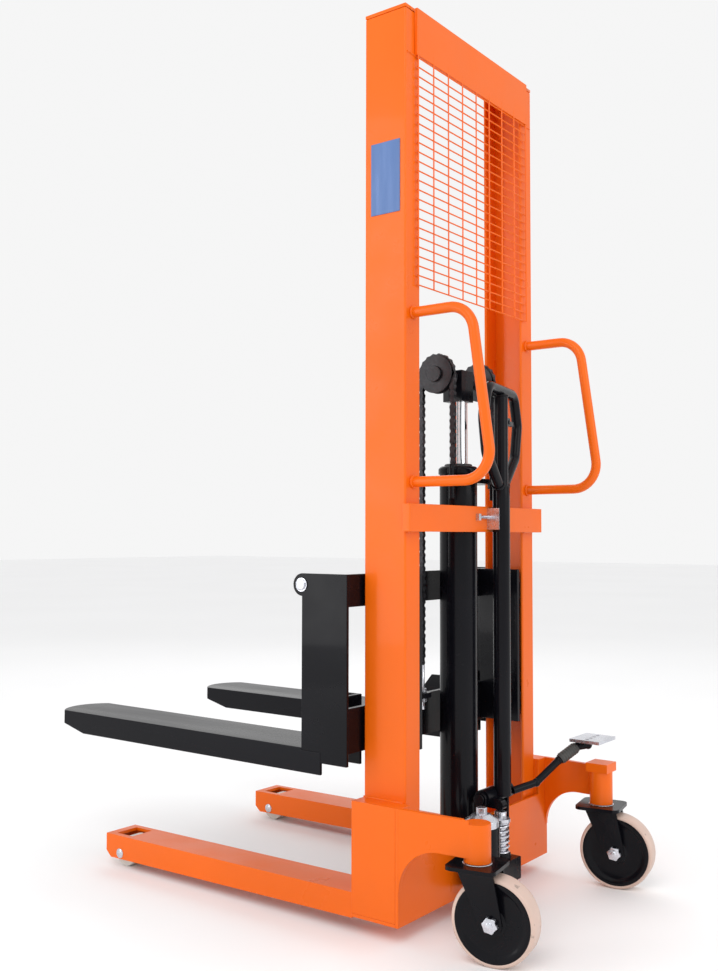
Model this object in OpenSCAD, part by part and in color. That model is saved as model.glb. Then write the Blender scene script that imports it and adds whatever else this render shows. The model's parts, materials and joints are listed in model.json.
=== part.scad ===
// Walkie stacker: hand pumped, fork-over-leg, single mast. Millimetres, +Z up, forks towards +Y.

/* [Mast] */
// Height of the mast above the ground
mast_h = 2080; // [1800:10:2400]
// Width over the two mast posts
mast_w = 596; // [560:2:640]
// Front to back depth of a post channel
post_depth = 113; // [105:1:130]
// Length of a post channel's flange, side to side
post_flange = 58; // [54:1:66]
// Thickness of the post channel
post_wall = 8; // [6:0.5:10]
// Height of the top beam
beam_h = 110; // [80:5:140]
// Height of the wire guard between the posts
guard_h = 550; // [300:10:700]
// Thickness of the guard's wires
guard_wire = 4; // [3:0.5:6]

/* [Forks and legs] */
// Height of the fork's top face as it stands here
fork_z = 391; // [360:1:700]
// Height of the fork's top face when fully lowered
fork_low_z = 100; // [98:1:110]
// Height of the fork's top face when fully raised
fork_high_z = 1600; // [1300:10:1700]
// Length of a fork from its heel to its tip
fork_len = 950; // [800:10:1150]
// Width of a fork
fork_w = 157; // [150:1:180]
// Depth of a fork's side walls
fork_h = 56; // [50:1:60]
// Thickness of the fork plates
fork_wall = 8; // [6:0.5:8]
// Reach of a straddle leg in front of the mast
leg_len = 823; // [700:5:850]
// Width of a straddle leg
leg_w = 99; // [90:1:105]

/* [Base] */
// Height of the base and the legs above the ground
base_z = 38; // [34:1:44]
// Height of the base's top edge above the ground
base_top_z = 290; // [260:5:310]
// Thickness of the base plates
base_wall = 8; // [6:1:10]
// Distance of a caster's stem behind the mast
stem_back = 185; // [170:1:210]

/* [Wheels] */
// Radius of a caster wheel
wheel_r = 90; // [80:1:92]
// Width of a caster wheel
wheel_w = 50; // [40:1:54]
// Distance of a caster's axle behind its stem
trail = 40; // [30:1:44]
// Radius of a load roller in a leg
load_roller_r = 37; // [34:1:39]
// Width of a load roller
load_roller_w = 60; // [50:1:66]

/* [Lifting gear] */
// Radius of the lift cylinder's tube
cyl_r = 46; // [42:1:50]
// Radius of the piston rod
rod_r = 22.5; // [18:0.5:25]
// Distance of each chain from the middle
chain_x = 95; // [85:1:105]
// Radius of the chain's pitch line on its pulley
chain_pitch_r = 44; // [42:0.5:45]

/* [Tiller] */
// Distance of the tiller from the middle
tiller_x = 50; // [40:1:60]
// Height of the tiller's loop at its top
tiller_top_z = 1245; // [1100:5:1300]
// Width of the tiller's loop
loop_w = 300; // [220:5:320]
// Radius of the tiller's tube
tiller_r = 21; // [17:0.5:23]
// Radius of the grab handles' tube
handle_r = 12; // [10:0.5:15]

/* [Hidden] */
$fn = 64;

paint = [0.90, 0.38, 0.04];
black = [0.06, 0.06, 0.08];
zinc = [0.75, 0.76, 0.80];
grey = [0.45, 0.45, 0.47];
tan_pu = [0.78, 0.66, 0.60];
plate_blue = [0.28, 0.42, 0.66];

// Clearances
run_gap = 0.05;     // radial clearance of a shaft that turns or slides in a bore
free_gap = 2;       // space between faces that pass each other
roller_gap = 0.5;   // space between a guide roller and each flange

// Mast
half_w = mast_w / 2;
post_in = half_w - post_flange;
post_foot = base_z + base_wall;
beam_z = mast_h - beam_h;

// Chains and pulleys, on the cylinder's axis line
chain_y = post_depth / 2 - 9.5;
chain_t = 14;
chain_w = 14;
pulley_z = 1262;
crosshead_h = 56;
crosshead_low = pulley_z - 2 - crosshead_h;
crosshead_top = pulley_z + 18;

// Forks, legs and carriage
drop = fork_z - fork_low_z;
raise = fork_high_z - fork_z;
fork_out = half_w + 57;
fork_in = fork_out - fork_w;
heel_y = post_depth + 81;
fork_tip_y = heel_y + fork_len;
tip_taper = 120;
tip_round = 46;
tip_h = 26;
leg_out = fork_out - fork_wall - 5;
leg_in = leg_out - leg_w;
leg_tip_y = post_depth + leg_len;
leg_top_z = fork_low_z - fork_wall - free_gap;
leg_tip_z = leg_top_z - 8;
leg_low_z = base_z - 4;
leg_tip_low = 22;
leg_wall = 8;
load_roller_y = leg_tip_y - 54;
load_roller_x = (leg_in + leg_out) / 2;
load_axle_r = 10;
carriage_t = 12;
carriage_y = post_depth + 6;
carriage_z = fork_z + 397;
side_front_y = heel_y + 56;
lug_r = 26;
beam_low = fork_z - 1;
beam_high = fork_z + 99;
roller_plate_x = post_in - 6;
roller_plate_y = 6;
roller_r = post_depth / 2 - post_wall - roller_gap;
roller_w = 36;
roller_x = half_w - post_wall - 4 - roller_w / 2;
roller_y = post_depth / 2;
roller_pin_r = 15;
roller_z_low = fork_z + 55;
roller_z_high = fork_z + 345;

// Casters
stem_x = half_w + 7;
stem_y = -stem_back;
stem_r = 28.5;
pin_r = 12;
crown_t = 8;
crown_z = 2 * wheel_r + 12;
stem_low = crown_z + crown_t + free_gap;
stem_top = base_top_z - 8;
caster_turn = 10;
axle_r = 10;
cheek_gap = 3;
cheek_t = 6;

// The whole model's middle from front to back
rear_y = stem_y - trail * cos(caster_turn) - wheel_r * cos(caster_turn) - wheel_w / 2 * sin(caster_turn);
middle_y = (rear_y + fork_tip_y) / 2;

// Pump and tiller
rear_face = 33 - cyl_r;    // the rear panel stands clear behind the cylinder
pad_z = 356;
block_top = 304;
pump_x = 10;
pump_y = rear_face - 49;
pump_top = 126;
plunger_r = 14;
spring_top = 198;
plunger_top = 222;
pivot_y = rear_face - 11;
pivot_z = 250;
pivot_r = 9;
tiller_y = pivot_y - 21;
loop_h = 267;
loop_r = 13;
loop_turn = 12;
loop_low = tiller_top_z - loop_h;

// Cylinder
cyl_top = 1025;
head_h = 20;
bore_r = cyl_r - 10;
piston_z = 250;
anchor_plate_z = 1003;

module in_frame() { translate([0, -middle_y, 0]) children(); }

module block(x0, x1, y0, y1, z0, z1) {
    translate([min(x0, x1), y0, z0]) cube([abs(x1 - x0), y1 - y0, z1 - z0]);
}

// A bar of round section along X, Y or Z
module rod_x(x0, x1, y, z, r) { translate([x0, y, z]) rotate([0, 90, 0]) cylinder(h = x1 - x0, r = r); }
module rod_z(x, y, z0, z1, r) { translate([x, y, z0]) cylinder(h = z1 - z0, r = r); }

// A plate cut from a Y-Z outline, between two places on X
module side_cut(x0, x1) {
    translate([min(x0, x1), 0, 0]) rotate([90, 0, 90]) linear_extrude(abs(x1 - x0)) children();
}

// A round bar between two points
module bar(a, b, r) {
    d = b - a;
    translate(a) rotate([0, acos(d[2] / norm(d)), atan2(d[1], d[0])]) cylinder(h = norm(d), r = r);
}

// A hexagonal nut or bolt head that stands on a plane
module hex_z(x, y, z, across, h) { translate([x, y, z]) cylinder(h = h, r = across / sqrt(3), $fn = 6); }

// Turn of a path at one of its corners, and the length that a bend takes from each side of it
function turn_at(p, i) =
    let (a = atan2(p[i][1] - p[i-1][1], p[i][0] - p[i-1][0]),
         b = atan2(p[i+1][1] - p[i][1], p[i+1][0] - p[i][0]), t = b - a)
    t > 180 ? t - 360 : t < -180 ? t + 360 : t;

// Places along a path in a plane with round bends, each [x, y, heading]
function bent_path(p, bend, steps) = [
    [p[0][0], p[0][1], atan2(p[1][1] - p[0][1], p[1][0] - p[0][0])],
    for (i = [1 : len(p) - 2])
        let (a = atan2(p[i][1] - p[i-1][1], p[i][0] - p[i-1][0]), t = turn_at(p, i),
             side = t > 0 ? 1 : -1, cut = bend * tan(abs(t) / 2),
             c = p[i] - cut * [cos(a), sin(a)] + bend * side * [-sin(a), cos(a)])
        for (k = [0 : steps]) let (h = a + t * k / steps)
            [c[0] + bend * side * sin(h), c[1] - bend * side * cos(h), h],
    let (n = len(p) - 1)
        [p[n][0], p[n][1], atan2(p[n][1] - p[n-1][1], p[n][0] - p[n-1][0])]];

// A round tube swept along such a path
module bent_tube(p, bend, r, steps = 6, sides = 16) {
    path = bent_path(p, bend, steps);
    last = len(path) - 1;
    polyhedron(
        points = [for (q = path) for (j = [0 : sides - 1]) let (a = 360 * j / sides)
            [q[0] - r * cos(a) * sin(q[2]), q[1] + r * cos(a) * cos(q[2]), r * sin(a)]],
        faces = [[for (j = [0 : sides - 1]) j],
            for (i = [0 : last - 1]) for (j = [0 : sides - 1]) let (k = (j + 1) % sides)
                [i * sides + j, (i + 1) * sides + j, (i + 1) * sides + k, i * sides + k],
            [for (j = [sides - 1 : -1 : 0]) last * sides + j]]);
}

// --- Mast ---
module mast_post(side) {
    color(paint) in_frame() difference() {
        block(side * post_in, side * half_w, 0, post_depth, post_foot, mast_h - post_wall);
        block(side * (post_in - 1), side * (half_w - post_wall), post_wall, post_depth - post_wall,
            post_foot - 1, mast_h);
    }
}
module mast_post_left() { mast_post(-1); }
module mast_post_right() { mast_post(1); }

module mast_top_beam() {
    color(paint) in_frame() {
        block(-half_w + 36, half_w - 36, -post_wall, 0, beam_z, mast_h);
        block(-half_w, half_w, 0, post_depth, mast_h - post_wall, mast_h);
    }
}

guard_half = half_w - 40;
guard_cols = 8;
guard_rows = floor(guard_h / 22);
guard_top = beam_z + 20;
guard_low = guard_top - guard_h;
guard_y = -post_wall;

module guard_mesh() {
    col = 2 * guard_half / guard_cols;
    row = guard_h / guard_rows;
    color(paint) in_frame() {
        translate([0, guard_y, 0]) rotate([90, 0, 0]) linear_extrude(guard_wire) difference() {
            translate([-guard_half, guard_low]) square([2 * guard_half, guard_h]);
            for (i = [0 : guard_cols - 1]) for (j = [0 : guard_rows - 1])
                translate([-guard_half + i * col + guard_wire / 2, guard_low + j * row + guard_wire / 2])
                    square([col - guard_wire, row - guard_wire]);
        }
        for (s = [-1, 1]) for (z = [guard_low, guard_low + guard_h / 2])
            block(s * (guard_half - 14), s * guard_half, guard_y, 0, z, z + 12);
    }
}

handle_x = half_w - 30;
handle_top = 1377;
handle_low = 995;
module grab_handle(side) {
    color(paint) in_frame() translate([side * handle_x, 0, 0]) rotate([90, 0, 90])
        bent_tube([[0, handle_top], [-150, handle_top], [-205, handle_low], [0, handle_low]], 62, handle_r);
}
module grab_handle_left() { grab_handle(-1); }
module grab_handle_right() { grab_handle(1); }

tie_half = half_w + 12;
tie_low = 884;
tie_high = 946;
tie_y = 26 - cyl_r;
tie_t = 8;
module tie_plate() {
    color(paint) in_frame() {
        block(-tie_half, tie_half, tie_y, tie_y + tie_t, tie_low, tie_high);
        for (s = [-1, 1]) block(s * (post_in + 10), s * tie_half, tie_y + tie_t, 0, tie_low, tie_high);
    }
}

saddle_r = cyl_r + 8;
module cylinder_saddle() {
    color(paint) in_frame() difference() {
        union() {
            rod_z(0, chain_y, tie_low + 6, tie_high - 6, saddle_r);
            block(-24, 24, tie_y + tie_t, 20, tie_low + 6, tie_high - 6);
        }
        rod_z(0, chain_y, tie_low, tie_high, cyl_r);
    }
}

clip_t = 3;
module tiller_clip() {
    inner = tiller_r + free_gap;
    color(zinc) in_frame() {
        block(tiller_x - inner - clip_t, tiller_x + inner + clip_t, tie_y - 2, tie_y, tie_low + 6, tie_high - 4);
        for (s = [-1, 1])
            block(tiller_x + s * inner, tiller_x + s * (inner + clip_t), tiller_y - 8, tie_y - 2,
                tie_low + 6, tie_high - 4);
        rod_x(tiller_x - inner - clip_t - 48, tiller_x - inner - clip_t, tie_y - 5, tie_low + 36, 4);
        block(tiller_x - inner - 56, tiller_x - inner - 46, tie_y - 9, tie_y, tie_low + 28, tie_low + 44);
    }
}

module blank_plate() {
    color(plate_blue) in_frame() block(-half_w - 1.5, -half_w, 15, 95, 1605, 1771);
}

// --- Base, legs and wings ---
base_out = half_w + 47;
panel_h = 162;
module base_side(side) {
    color(paint) in_frame() difference() {
        block(side * half_w, side * base_out, rear_face + base_wall, post_depth, post_foot, base_top_z);
        block(side * (half_w - 1), side * (base_out - base_wall), rear_face + 2 * base_wall,
            post_depth - base_wall, post_foot - 1, base_top_z - base_wall);
    }
}
module base_side_left() { base_side(-1); }
module base_side_right() { base_side(1); }

module base_floor() {
    color(paint) in_frame()
        block(-base_out, base_out, rear_face + base_wall, post_depth, base_z, post_foot);
}

module base_rear_panel() {
    color(paint) in_frame() {
        block(-base_out, base_out, rear_face, rear_face + base_wall, base_z, base_z + panel_h);
        for (s = [-1, 1]) block(s * half_w, s * base_out, rear_face, rear_face + base_wall,
            base_z + panel_h, base_top_z);
    }
}

module leg(side) {
    color(paint) in_frame() difference() {
        side_cut(side * leg_in, side * leg_out) polygon([[post_depth, leg_low_z],
            [leg_tip_y - 18, leg_tip_low], [leg_tip_y, leg_tip_low + 16], [leg_tip_y, leg_tip_z],
            [post_depth, leg_top_z]]);
        side_cut(side * (leg_in + leg_wall), side * (leg_out - leg_wall)) polygon([[post_depth - 1, 0],
            [leg_tip_y - leg_wall, 0], [leg_tip_y - leg_wall, leg_tip_z - leg_wall],
            [post_depth - 1, leg_top_z - leg_wall]]);
        block(side * (leg_in + 16), side * (leg_out - 16), load_roller_y - 30, load_roller_y + 30,
            leg_tip_low, leg_top_z + 1);
        rod_x(side > 0 ? leg_in - 1 : -leg_out - 1, side > 0 ? leg_out + 1 : -leg_in + 1,
            load_roller_y, load_roller_r, load_axle_r);
    }
}
module leg_left() { leg(-1); }
module leg_right() { leg(1); }

module load_roller_axles() {
    color(zinc) in_frame() for (s = [-1, 1])
        rod_x(s > 0 ? leg_in : -leg_out, s > 0 ? leg_out : -leg_in, load_roller_y, load_roller_r,
            load_axle_r);
}

arch_r = 97;
arch_y = rear_face - arch_r - 1;
arch_z = stem_low + 11 - arch_r;
module wing(side) {
    color(paint) in_frame() difference() {
        intersection() {
            mirror([side > 0 ? 0 : 1, 0, 0]) linear_extrude(base_top_z)
                polygon([[base_out, rear_face], [base_out - 12, rear_face],
                    [stem_x + stem_r - 12.5, stem_y], [stem_x + stem_r - 0.5, stem_y]]);
            side_cut(-base_out, base_out) difference() {
                translate([stem_y, arch_z]) square([rear_face - stem_y, base_top_z - arch_z]);
                translate([arch_y, arch_z]) circle(r = arch_r);
                translate([stem_y - 1, 0]) square([arch_y - stem_y + 1, arch_z + arch_r]);
            }
        }
        rod_z(side * stem_x, stem_y, 0, base_top_z + 1, stem_r);
    }
}
module wing_left() { wing(-1); }
module wing_right() {
    wing(1);
    color(paint) in_frame()
        block(stem_x - stem_r, stem_x + stem_r, stem_y - stem_r, stem_y + stem_r, stem_top, block_top);
}

module stem_housings() {
    color(paint) in_frame() for (s = [-1, 1]) difference() {
        rod_z(s * stem_x, stem_y, stem_low, stem_top, stem_r);
        rod_z(s * stem_x, stem_y, stem_low - 1, stem_top - 12, pin_r + run_gap);
    }
}

// --- Lift cylinder and the chains' fixed ends ---
module lift_cylinder() {
    color(black) in_frame() difference() {
        rod_z(0, chain_y, post_foot, cyl_top, cyl_r);
        rod_z(0, chain_y, post_foot + 12, cyl_top + 1, bore_r);
    }
}

module cylinder_head() {
    color(black) in_frame() difference() {
        union() {
            rod_z(0, chain_y, cyl_top, cyl_top + head_h - 6, cyl_r + 3);
            translate([0, chain_y, cyl_top + head_h - 6]) cylinder(h = 6, r1 = cyl_r + 3, r2 = cyl_r - 3);
        }
        rod_z(0, chain_y, cyl_top - 1, cyl_top + head_h + 1, rod_r + run_gap);
    }
}

bolt_r = 6;
nut_across = 19;
rear_chain_y = chain_y - chain_pitch_r;
front_chain_y = chain_y + chain_pitch_r;
rear_fall_low = 1045;
module rear_chain_anchors() {
    color(black) in_frame() difference() {
        block(-chain_x - 17, chain_x + 17, -7, chain_y + 13, anchor_plate_z, anchor_plate_z + 12);
        rod_z(0, chain_y, anchor_plate_z - 1, anchor_plate_z + 13, cyl_r);
        for (s = [-1, 1]) rod_z(s * chain_x, rear_chain_y + 4, anchor_plate_z - 1, anchor_plate_z + 13, bolt_r);
    }
    color(zinc) in_frame() for (s = [-1, 1]) {
        rod_z(s * chain_x, rear_chain_y + 4, anchor_plate_z - 40, rear_fall_low, bolt_r);
        hex_z(s * chain_x, rear_chain_y + 4, anchor_plate_z - 11, nut_across, 11);
    }
}

module chain_fall(x, y, z0, z1) { block(x - chain_w / 2, x + chain_w / 2, y - chain_t / 2, y + chain_t / 2, z0, z1); }
module rear_chain_falls() {
    color(black) in_frame() for (s = [-1, 1]) chain_fall(s * chain_x, rear_chain_y, rear_fall_low, pulley_z);
}

// --- Pump ---
tank_x = -78;
tank_r = 42;
tank_top = 205;
module pump_body() {
    color(black) in_frame() difference() {
        union() {
            block(tank_x, 50, pump_y - 33, rear_face, 62, spring_top - 84);
            rod_z(pump_x, pump_y, 62, pump_top, 24);
            rod_z(tank_x, pump_y, 62, tank_top, tank_r);
        }
        rod_z(pump_x, pump_y, 67, pump_top + 1, plunger_r + run_gap);
    }
}
module release_valve() {
    color(zinc) in_frame() {
        rod_z(tank_x, pump_y, tank_top, tank_top + 16, tank_r - 3);
        translate([tank_x, pump_y, tank_top + 16]) cylinder(h = 14, r1 = tank_r - 3, r2 = 18);
        hex_z(tank_x, pump_y, tank_top + 30, 22, 14);
    }
}
module pump_spring() {
    color(zinc) in_frame() difference() {
        rod_z(pump_x, pump_y, pump_top, spring_top, 21);
        rod_z(pump_x, pump_y, pump_top - 1, spring_top + 1, plunger_r + 1.5);
    }
}
module pump_piston() {
    color(zinc) in_frame() {
        rod_z(pump_x, pump_y, pump_top - 14, plunger_top, plunger_r);
        rod_z(pump_x, pump_y, spring_top, spring_top + 8, 23);
    }
}

ear_t = 8;
ear_left = pump_x - 32;
ear_right = tiller_x + tiller_r + 13;
module pivot_bracket() {
    color(black) in_frame() {
        block(ear_left, ear_right + ear_t, rear_face - ear_t, rear_face, 128, 196);
        for (x = [ear_left, ear_right]) difference() {
            union() {
                block(x, x + ear_t, pivot_y - 16, rear_face, 128, pivot_z);
                rod_x(x, x + ear_t, pivot_y, pivot_z, 16);
            }
            rod_x(x - 1, x + ear_t + 1, pivot_y, pivot_z, pivot_r);
        }
    }
    color(zinc) in_frame() {
        rod_x(ear_left - 3, ear_right + 34, pivot_y, pivot_z, pivot_r);
        rod_x(ear_left - 8, ear_left - 3, pivot_y, pivot_z, pivot_r + 5);
        rod_x(ear_right + 29, ear_right + 34, pivot_y, pivot_z, pivot_r + 5);
    }
}

// --- Piston rod, crosshead and pulleys ---
module piston_rod() {
    color(zinc) in_frame() {
        rod_z(0, chain_y, piston_z, crosshead_low, rod_r);
        rod_z(0, chain_y, piston_z - 30, piston_z, bore_r - run_gap);
    }
}
pulley_shaft_r = 12;
module crosshead() {
    color(black) in_frame() difference() {
        block(-27, 27, chain_y - 27, chain_y + 27, crosshead_low, crosshead_top);
        rod_x(-28, 28, chain_y, pulley_z, pulley_shaft_r);
    }
}
pulley_half = chain_w / 2 + 4;
module pulley_shaft() {
    end = chain_x + pulley_half + 1;
    color(zinc) in_frame() {
        rod_x(-end - 6, end + 6, chain_y, pulley_z, pulley_shaft_r);
        for (s = [-1, 1]) rod_x(s > 0 ? end : -end - 6, s > 0 ? end + 6 : -end, chain_y, pulley_z, 19);
        for (s = [-1, 1]) rod_x(s > 0 ? 30 : -end + 2 * pulley_half + 2, s > 0 ? end - 2 * pulley_half - 2 : -30,
            chain_y, pulley_z, 18);
    }
}
wrap_in = chain_pitch_r - chain_t / 2;
module pulley(side) {
    x = side * chain_x;
    color(black) in_frame() difference() {
        union() {
            rod_x(x - pulley_half, x + pulley_half, chain_y, pulley_z, wrap_in - 0.5);
            for (s = [-1, 1]) rod_x(x + s * pulley_half - (s > 0 ? 3 : 0), x + s * pulley_half + (s > 0 ? 0 : 3),
                chain_y, pulley_z, chain_pitch_r + 2);
        }
        rod_x(x - pulley_half - 1, x + pulley_half + 1, chain_y, pulley_z, pulley_shaft_r + run_gap);
    }
}
module pulley_left() { pulley(-1); }
module pulley_right() { pulley(1); }

module chain_wraps() {
    color(black) in_frame() for (s = [-1, 1])
        translate([s * chain_x, chain_y, pulley_z]) rotate([90, 0, 90]) rotate_extrude(angle = 180)
            translate([wrap_in, -chain_w / 2]) square([chain_t, chain_w]);
}

// --- Carriage and forks ---
module roller_plate(side) {
    x = roller_plate_x;
    color(black) in_frame() {
        side_cut(side * (x - carriage_t), side * x) polygon([[roller_plate_y, beam_low + 6],
            [carriage_y, beam_low + 6], [carriage_y, carriage_z], [roller_plate_y, carriage_z]]);
        for (z = [roller_z_low, roller_z_high])
            rod_x(side > 0 ? x : -roller_x - roller_w / 2 - 1, side > 0 ? roller_x + roller_w / 2 + 1 : -x,
                roller_y, z, roller_pin_r);
    }
}
module roller_plate_left() { roller_plate(-1); }
module roller_plate_right() { roller_plate(1); }

module guide_roller(side, z) {
    x = side * roller_x;
    color(grey) in_frame() difference() {
        rod_x(x - roller_w / 2, x + roller_w / 2, roller_y, z, roller_r);
        rod_x(x - roller_w / 2 - 1, x + roller_w / 2 + 1, roller_y, z, roller_pin_r + run_gap);
    }
}
module guide_roller_upper_left() { guide_roller(-1, roller_z_high); }
module guide_roller_upper_right() { guide_roller(1, roller_z_high); }
module guide_roller_lower_left() { guide_roller(-1, roller_z_low); }
module guide_roller_lower_right() { guide_roller(1, roller_z_low); }

notch_h = 5;          // depth that a carriage side is let into its fork
module carriage_side(side) {
    low = fork_z - 29;
    color(black) in_frame() {
        side_cut(side * (fork_out - fork_wall), side * fork_out) difference() {
            union() {
                polygon([[carriage_y, low], [heel_y, low], [heel_y, fork_z - notch_h],
                    [side_front_y, fork_z - notch_h], [side_front_y, carriage_z], [carriage_y, carriage_z]]);
                translate([side_front_y, carriage_z - lug_r]) circle(r = lug_r);
            }
            translate([side_front_y, carriage_z - lug_r]) circle(r = bolt_r + 3);
        }
        rod_x(side > 0 ? fork_out - fork_wall - 8 : -fork_out - 2,
            side > 0 ? fork_out + 2 : -fork_out + fork_wall + 8, side_front_y, carriage_z - lug_r, bolt_r + 3);
    }
}
module carriage_side_left() { carriage_side(-1); }
module carriage_side_right() { carriage_side(1); }

cross_half = fork_out - fork_wall;
module carriage_top_plate() {
    color(black) in_frame()
        block(-cross_half, cross_half, carriage_y, carriage_y + carriage_t, carriage_z - 73, carriage_z);
}
module carriage_beam() {
    color(black) in_frame() difference() {
        union() {
            block(-cross_half, cross_half, carriage_y, carriage_y + carriage_t, beam_low, beam_high);
            block(-cross_half, cross_half, carriage_y + carriage_t, heel_y - 12, beam_low, beam_low + 10);
            for (s = [-1, 1]) block(s * chain_x - 17, s * chain_x + 17, front_chain_y - 15, carriage_y,
                beam_high - 2, beam_high + 10);
        }
        for (s = [-1, 1]) rod_z(s * chain_x, front_chain_y, beam_high - 3, beam_high + 11, bolt_r);
    }
}
front_fall_low = beam_high + 76;
module front_chain_anchors() {
    color(zinc) in_frame() for (s = [-1, 1]) {
        rod_z(s * chain_x, front_chain_y, beam_high - 30, front_fall_low, bolt_r);
        hex_z(s * chain_x, front_chain_y, beam_high + 10, nut_across, 10);
        hex_z(s * chain_x, front_chain_y, beam_high - 12, nut_across, 10);
    }
}
module front_chain_falls() {
    color(black) in_frame() for (s = [-1, 1]) chain_fall(s * chain_x, front_chain_y, front_fall_low, pulley_z);
}

heel_h = 109;
module fork(side) {
    out = side * fork_out;
    inn = side * fork_in;
    low = fork_z - fork_h;
    color(black) in_frame() {
        difference() {
            intersection() {
                translate([0, 0, low]) linear_extrude(fork_h) union() {
                    translate([min(out, inn), heel_y]) square([fork_w, fork_len - tip_round]);
                    intersection() {
                        translate([min(out, inn), heel_y]) square([fork_w, fork_len]);
                        translate([(out + inn) / 2, fork_tip_y - fork_w * 0.62]) circle(r = fork_w * 0.62);
                    }
                }
                side_cut(out, inn) polygon([[heel_y, low], [fork_tip_y - tip_taper, low],
                    [fork_tip_y, fork_z - tip_h], [fork_tip_y, fork_z], [heel_y, fork_z]]);
            }
            side_cut(side * (fork_out - fork_wall), side * (fork_in + fork_wall)) polygon([[heel_y - 1, low - 1],
                [fork_tip_y - tip_taper, low - 1], [fork_tip_y - tip_taper, fork_z - fork_wall],
                [heel_y - 1, fork_z - fork_wall]]);
            side_cut(side * (fork_out - fork_wall), side * (fork_out + 1)) polygon([[heel_y - 1, fork_z - notch_h],
                [side_front_y, fork_z - notch_h], [side_front_y, fork_z + 1], [heel_y - 1, fork_z + 1]]);
        }
        block(side * (fork_out - fork_wall), side * fork_in, heel_y, heel_y + 12, fork_z, fork_z + heel_h);
        side_cut(side * fork_in, side * (fork_in + fork_wall)) polygon([[heel_y + 12, fork_z],
            [heel_y + 150, fork_z], [heel_y + 62, fork_z + heel_h], [heel_y + 12, fork_z + heel_h]]);
    }
}
module fork_left() { fork(-1); }
module fork_right() { fork(1); }

// --- Wheels ---
module load_roller(side) {
    x = side * load_roller_x;
    color(grey) in_frame() difference() {
        rod_x(x - load_roller_w / 2, x + load_roller_w / 2, load_roller_y, load_roller_r, load_roller_r);
        rod_x(x - load_roller_w, x + load_roller_w, load_roller_y, load_roller_r, load_axle_r + run_gap);
    }
}
module load_roller_left() { load_roller(-1); }
module load_roller_right() { load_roller(1); }

module on_caster(side) { in_frame() translate([side * stem_x, stem_y, 0]) rotate(caster_turn) children(); }

cheek_in = wheel_w / 2 + cheek_gap;
module caster_fork(side) {
    color(black) on_caster(side) {
        translate([0, 0, crown_z]) linear_extrude(crown_t) rounded_square(55, 16);
        for (s = [-1, 1]) side_cut(s * cheek_in, s * (cheek_in + cheek_t)) difference() {
            union() {
                translate([-trail, wheel_r]) circle(r = 24);
                polygon([[-trail - 23, wheel_r + 8], [-trail + 23, wheel_r - 8], [34, crown_z], [-44, crown_z]]);
            }
            translate([-trail, wheel_r]) circle(r = axle_r);
        }
        rod_z(0, 0, crown_z + crown_t, stem_top - 14, pin_r);
    }
    color(zinc) on_caster(side) {
        rod_x(-cheek_in - cheek_t - 3, cheek_in + cheek_t + 3, -trail, wheel_r, axle_r);
        for (s = [-1, 1]) translate([s > 0 ? cheek_in + cheek_t : -cheek_in - cheek_t - 8, -trail, wheel_r])
            rotate([0, 90, 0]) cylinder(h = 8, r = 17, $fn = 6);
    }
}
module rounded_square(half, corner) {
    square([2 * half, 2 * (half - corner)], center = true);
    square([2 * (half - corner), 2 * half], center = true);
    for (x = [-1, 1]) for (y = [-1, 1]) translate([x * (half - corner), y * (half - corner)]) circle(r = corner);
}
module caster_fork_left() { caster_fork(-1); }
module caster_fork_right() { caster_fork(1); }

module caster_wheel(side) {
    color(tan_pu) on_caster(side) difference() {
        rod_x(-wheel_w / 2, wheel_w / 2, -trail, wheel_r, wheel_r);
        rod_x(-wheel_w, wheel_w, -trail, wheel_r, axle_r + run_gap);
    }
}
module caster_wheel_left() { caster_wheel(-1); }
module caster_wheel_right() { caster_wheel(1); }

// --- Tiller and pedal ---
hub_r = 20;
cam_r = 12;
neck = 16;
module on_loop() { in_frame() translate([tiller_x, tiller_y, loop_low]) rotate(loop_turn) children(); }

lever_x = tiller_r + 12;
lever_z = 178;
lever_pin_r = 5;
ear_gap = 7;
spine_r = tiller_r - 4;
loop_top = loop_h - loop_r;
module tiller_shaft() {
    hub_x0 = ear_left + ear_t + free_gap;
    hub_x1 = ear_right - free_gap;
    color(black) in_frame() difference() {
        union() {
            rod_z(tiller_x, tiller_y, pivot_z, loop_low + neck, tiller_r);
            rod_x(hub_x0, hub_x1, pivot_y, pivot_z, hub_r);
            block(pump_x - 10, pump_x + 10, pump_y, pivot_y, pivot_z - 22, pivot_z + 2);
            rod_x(pump_x - 10, pump_x + 10, pump_y, plunger_top + 3 + cam_r, cam_r);
        }
        rod_x(hub_x0 - 1, hub_x1 + 1, pivot_y, pivot_z, pivot_r + run_gap);
        rod_z(tiller_x, tiller_y, pivot_z + 60, loop_low - 20, tiller_r - 4);
    }
    color(black) on_loop() {
        rod_z(0, 0, neck - 8, loop_top - loop_r - 0.5, spine_r);
        for (s = [-1, 1]) difference() {
            translate([spine_r - 4, s * (ear_gap + 2) - 2, lever_z - 10]) cube([lever_x + 13 - spine_r, 4, 20]);
            translate([lever_x, 20, lever_z]) rotate([90, 0, 0]) cylinder(h = 40, r = lever_pin_r);
        }
    }
    color(zinc) on_loop() translate([lever_x, ear_gap + 6, lever_z]) rotate([90, 0, 0])
        cylinder(h = 2 * ear_gap + 12, r = lever_pin_r);
}

module tiller_loop() {
    half = loop_w / 2;
    color(black) on_loop() difference() {
        rotate([90, 0, 0])
            bent_tube([[spine_r - 4, 14], [half - 36, 92], [half - loop_r, 178], [half - 44, loop_top],
                [44 - half, loop_top], [loop_r - half, 178], [36 - half, 92], [4 - spine_r, 14]], 40, loop_r);
        rod_z(0, 0, -20, neck, tiller_r);
        rod_z(0, 0, neck - 1, 60, spine_r);
    }
}

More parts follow.
